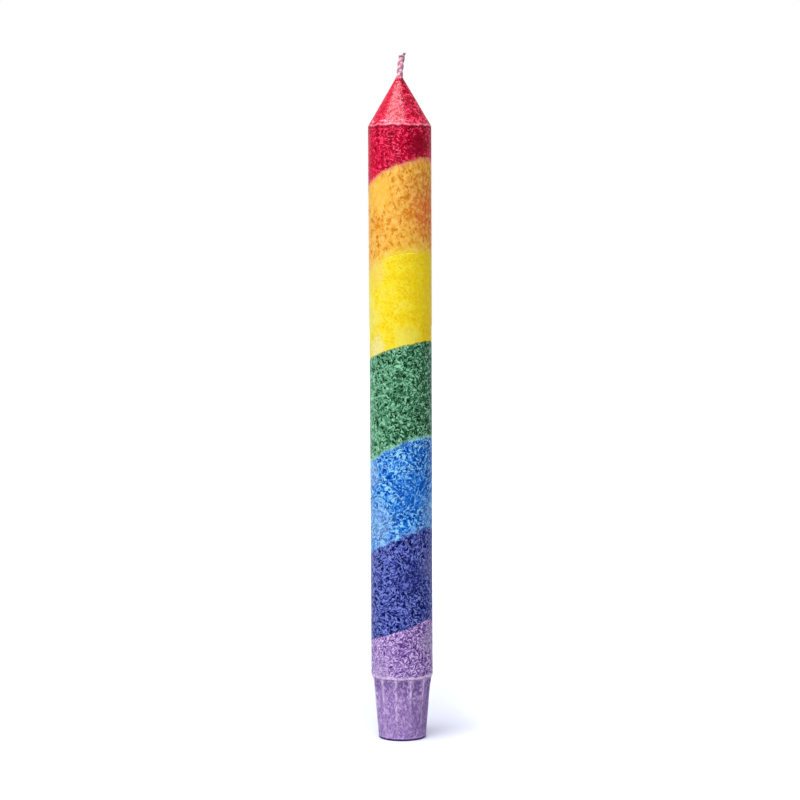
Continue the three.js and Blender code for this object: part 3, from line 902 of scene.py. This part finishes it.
def turned_rod(radius, levels, sides):
    """A closed upright rod: levels are heights in millimetres, each with the cuts up to the next."""
    rod = bmesh.new()
    low = levels[0][0]
    high = levels[-1][0]
    corners = [(0, low)] + [(radius, height) for height, cuts in levels] + [(0, high)]
    verts = [rod.verts.new((out * MM, 0, height * MM)) for out, height in corners]
    edges = [rod.edges.new(pair) for pair in zip(verts, verts[1:])]
    for edge, (height, cuts) in zip(edges[1:], levels):
        if cuts:
            bmesh.ops.subdivide_edges(rod, edges=[edge], cuts=cuts)
    bmesh.ops.spin(
        rod, geom=rod.verts[:] + rod.edges[:], cent=(0, 0, 0), axis=(0, 0, 1), angle=FULL_TURN, steps=sides,
        use_merge=True)
    bmesh.ops.remove_doubles(rod, verts=rod.verts, dist=1e-7)
    bmesh.ops.recalc_face_normals(rod, faces=rod.faces)
    return rod


def make_strand_body(sizes, index, low, high):
    """The body of a strand: a rod with the twisted lobes of its yarns, moved onto the braid's path."""
    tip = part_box("red_tip_layer")[1].z / MM
    top = tip + sizes.stands_out
    fine = tip - 2
    levels = [(low, int((fine - low) / 0.8)), (fine, int((high - fine) / 0.11)), (high, 0)]
    rod = turned_rod(1, levels, 24)
    gap = rod.verts.layers.float.new("gap")
    cut = rod.verts.layers.float.new("cut")
    others = [other for other in range(len(STRAND_NODES)) if other != index]
    for vert in rod.verts:
        height = vert.co.z / MM
        out = vert.co.xy.length / MM
        turn = math.atan2(vert.co.y, vert.co.x)
        middle = strand_middle(sizes, index, height, top, tip)
        twist = FULL_TURN * height / sizes.yarn_pitch
        lobe = abs(math.sin(sizes.yarns / 2 * (turn - twist)))
        soaked = 1 + 0.25 * smoothstep(1.8, 0, height - tip)
        thick = (0.91 + 0.09 * lobe) * soaked * out
        thick *= 1 + 0.08 * noise.noise(Vector((height * 1.7, index * 3.7, 0.5)))
        side = Vector((
            thick * math.cos(turn) * sizes.strand_width / 2, thick * math.sin(turn) * sizes.strand_thickness / 2, 0))
        ragged = noise.noise(Vector((math.cos(turn), math.sin(turn), index)) * 2.1)
        rise = smoothstep(high - 0.5, high, height) * (0.22 * ragged - 0.1 * out)
        point = middle + side + Vector((0, 0, rise))
        # Painted shade where this strand passes close to another, and down the wick's right side.
        near = min(strand_clearance(sizes, other, point, top, tip) for other in others)
        aside = point.x - wick_lean(sizes, height, tip)
        painted_shade_on_right = 0.9 * smoothstep(0.25, 0.9, aside)
        vert[gap] = min(1, 0.45 * (1 - smoothstep(0.95, 1.5, near)) + painted_shade_on_right)
        vert[cut] = smoothstep(high - 0.45, high, height)
        vert.co = point * MM
    return rod


def strand_clearance(sizes, index, point, top, tip):
    """Distance of a point from a strand's middle, where 1 is the strand's surface."""
    away = point - strand_middle(sizes, index, point.z, top, tip)
    return math.hypot(away.x / (sizes.strand_width / 2), away.y / (sizes.strand_thickness / 2))


def make_loose_end(sizes, index, end, low, high):
    """A cut yarn that stands a little out of its strand's end."""
    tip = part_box("red_tip_layer")[1].z / MM
    top = tip + sizes.stands_out
    rod = turned_rod(sizes.yarn_radius, [(low, 7), (high, 0)], 8)
    gap = rod.verts.layers.float.new("gap")
    cut = rod.verts.layers.float.new("cut")
    turn = FULL_TURN * (end / sizes.loose_ends + 0.13 * index)
    for vert in rod.verts:
        height = vert.co.z / MM
        opening = (height - low) / (high - low)
        reach = 0.45 + 0.5 * opening ** 2
        middle = strand_middle(sizes, index, height, top, tip)
        middle.x += reach * math.cos(turn) * sizes.strand_width / 2
        middle.y += reach * math.sin(turn) * sizes.strand_thickness / 2
        side = Vector((vert.co.x, vert.co.y, 0)) / MM * (1.15 - 0.5 * opening)
        # A little of the painted shade on each loose end.
        vert[gap] = 0.3
        vert[cut] = smoothstep(0.35, 0.9, opening)
        vert.co = (middle + side) * MM
    return rod


def make_strand(sizes, index):
    """A strand of the braid, which ends unevenly where the wick was cut."""
    low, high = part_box(STRAND_NODES[index])
    low = low.z / MM
    high = high.z / MM
    parts = [make_strand_body(sizes, index, low, high - 0.45)]
    for end in range(sizes.loose_ends):
        reach = 0.45 * (0.5 + 0.5 * noise.noise(Vector((index * 3.3, end * 2.7, 1.5))))
        parts.append(make_loose_end(sizes, index, end, high - 1.2, high - reach))
    strand = bmesh.new()
    part_mesh = bpy.data.meshes.new("part")
    for part in parts:
        part.to_mesh(part_mesh)
        part.free()
        strand.from_mesh(part_mesh)
    bpy.data.meshes.remove(part_mesh)
    return strand


# Operators.


class CANDLE_OT_wax(bpy.types.Operator):
    """Casts the seven layers of wax"""

    bl_idname = "candle.wax"
    bl_label = "Cast the wax"

    def execute(self, context):
        sizes = context.scene.candle_wax
        colours = context.scene.candle_colours
        rest = make_wax(sizes)
        for layer in LAYERS:
            node = LAYER_NODES[layer]
            if layer == LAYERS[-1]:
                wax = rest
            else:
                joint = joint_on_top(node)
                wax = rest.copy()
                cut_at_joint(wax, joint, keep_above=False)
                cut_at_joint(rest, joint, keep_above=True)
            new_piece(f"{layer}_wax_layer", wax, wax_material(layer, colours), node)
        return {"FINISHED"}


class CANDLE_OT_wick(bpy.types.Operator):
    """Braids the three strands of the wick"""

    bl_idname = "candle.wick"
    bl_label = "Braid the wick"

    def execute(self, context):
        sizes = context.scene.candle_wick
        cotton = cotton_material(sizes)
        for index, node in enumerate(STRAND_NODES):
            new_piece(f"{node}_cotton", make_strand(sizes, index), cotton, node)
        return {"FINISHED"}


class CANDLE_OT_stage(bpy.types.Operator):
    """Sets up the camera, the lights and the white floor"""

    bl_idname = "candle.stage"
    bl_label = "Set the stage"

    def execute(self, context):
        settings = context.scene.candle_stage
        place_camera(context.scene, settings)
        light_surroundings(context.scene, settings)
        hang_light(context.scene, settings, "key light", settings.key_power, settings.key_turn)
        reflector = hang_light(
            context.scene, settings, "reflector", settings.reflector_power, settings.reflector_turn)
        reflector.visible_diffuse = False
        lay_floor(context.scene)
        context.scene.view_settings.view_transform = "Standard"
        return {"FINISHED"}


def place_camera(scene, settings):
    data = bpy.data.cameras.new("camera")
    data.lens = settings.lens
    data.sensor_width = 36
    camera = bpy.data.objects.new("camera", data)
    scene.collection.objects.link(camera)
    place = Vector(settings.camera_place)
    view = (Vector(settings.camera_target) - place).to_track_quat("-Z", "Y").to_matrix().to_4x4()
    camera.matrix_world = Matrix.Translation(place) @ view @ Matrix.Rotation(settings.camera_roll, 4, "Z")
    scene.camera = camera


def light_surroundings(scene, settings):
    """White surroundings, dimmer in front, which show as white and light the candle less strongly."""
    world = bpy.data.worlds.new("white studio")
    world.use_nodes = True
    world.node_tree.nodes.clear()
    nodes = NodeTree(world.node_tree)
    path = nodes.add("ShaderNodeLightPath")
    shown = nodes.math("MAXIMUM", path.outputs["Is Glossy Ray"], path.outputs["Is Transmission Ray"])
    strength = nodes.fade(shown, 0, 1, settings.surroundings, 1)
    direction = nodes.add("ShaderNodeTexCoord").outputs["Generated"]
    dimmest = (math.sin(settings.front_turn), -math.cos(settings.front_turn), 0)
    forward = nodes.vector_math("DOT_PRODUCT", direction, dimmest)
    strength = nodes.math("MULTIPLY", strength, nodes.fade(forward, -0.5, 0.8, 1.0, settings.front_dimming))
    strength = nodes.math("MAXIMUM", strength, path.outputs["Is Camera Ray"])
    background = nodes.add("ShaderNodeBackground", {"Color": (1, 1, 1, 1), "Strength": strength})
    nodes.add("ShaderNodeOutputWorld", {"Surface": background.outputs["Background"]})
    scene.world = world


def hang_light(scene, settings, name, power, turn):
    """A square light to the left above the camera, which faces the middle of the candle."""
    data = bpy.data.lights.new(name, "AREA")
    data.shape = "SQUARE"
    data.size = settings.key_size
    data.energy = power
    light = bpy.data.objects.new(name, data)
    scene.collection.objects.link(light)
    level = math.cos(settings.key_rise)
    towards = Vector((
        -math.sin(turn) * level, -math.cos(turn) * level, math.sin(settings.key_rise)))
    place = Vector((0, 0, 0.13)) + towards * settings.key_distance
    light.matrix_world = Matrix.Translation(place) @ towards.to_track_quat("Z", "Y").to_matrix().to_4x4()
    return light


def lay_floor(scene):
    """A white floor, which shows as white as the surroundings except in the candle's shadow."""
    mesh = bpy.data.meshes.new("floor")
    sheet = bmesh.new()
    bmesh.ops.create_circle(sheet, cap_ends=True, segments=96, radius=6)
    bmesh.ops.translate(sheet, verts=sheet.verts, vec=(0, 0, -0.00002))
    sheet.to_mesh(mesh)
    sheet.free()
    floor = bpy.data.objects.new("floor", mesh)
    scene.collection.objects.link(floor)
    material = bpy.data.materials.new("white floor")
    material.use_nodes = True
    material.node_tree.nodes.clear()
    nodes = NodeTree(material.node_tree)
    path = nodes.add("ShaderNodeLightPath")
    seen = nodes.math("MAXIMUM", path.outputs["Is Camera Ray"], path.outputs["Is Glossy Ray"])
    seen = nodes.math("MAXIMUM", seen, path.outputs["Is Transmission Ray"])
    place = nodes.add("ShaderNodeTexCoord").outputs["Object"]
    aside = nodes.add("ShaderNodeSeparateXYZ", {"Vector": place}).outputs["X"]
    beside = nodes.fade(nodes.math("ABSOLUTE", aside), 0.014, 0.045, 0.02, 0.32)
    far = nodes.fade(nodes.vector_math("LENGTH", place), 0.03, 0.6, 0.0, 0.75)
    glow_strength = nodes.math("MULTIPLY", seen, nodes.math("ADD", beside, far))
    paint = nodes.mix(seen, (0.35, 0.36, 0.38, 1), (0.8, 0.83, 0.95, 1))
    matt = nodes.add("ShaderNodeBsdfDiffuse", {"Color": paint})
    glow = nodes.add("ShaderNodeEmission", {"Color": (0.93, 0.95, 1, 1), "Strength": glow_strength})
    both = nodes.add("ShaderNodeAddShader", {0: matt.outputs[0], 1: glow.outputs[0]})
    nodes.add("ShaderNodeOutputMaterial", {"Surface": both.outputs[0]})
    floor.data.materials.append(material)


class CANDLE_PT_tools(bpy.types.Panel):
    """Lists the steps that make the candle"""

    bl_idname = "CANDLE_PT_tools"
    bl_label = "Dinner candle"
    bl_space_type = "VIEW_3D"
    bl_region_type = "UI"
    bl_category = "Candle"

    def draw(self, context):
        column = self.layout.column()
        for operator in (CANDLE_OT_wax, CANDLE_OT_wick, CANDLE_OT_stage):
            column.operator(operator.bl_idname)


SETTINGS = {
    "candle_wax": CandleWaxSizes,
    "candle_colours": CandleWaxColours,
    "candle_wick": CandleWickSizes,
    "candle_stage": CandleStageSettings,
}
CLASSES = (*SETTINGS.values(), CANDLE_OT_wax, CANDLE_OT_wick, CANDLE_OT_stage, CANDLE_PT_tools)


def register():
    for cls in CLASSES:
        bpy.utils.register_class(cls)
    for name, cls in SETTINGS.items():
        setattr(bpy.types.Scene, name, bpy.props.PointerProperty(type=cls))


def unregister():
    for name in SETTINGS:
        delattr(bpy.types.Scene, name)
    for cls in reversed(CLASSES):
        bpy.utils.unregister_class(cls)


def main():
    register()
    bpy.ops.candle.wax()
    bpy.ops.candle.wick()
    bpy.ops.candle.stage()


if __name__ == "__main__":
    main()
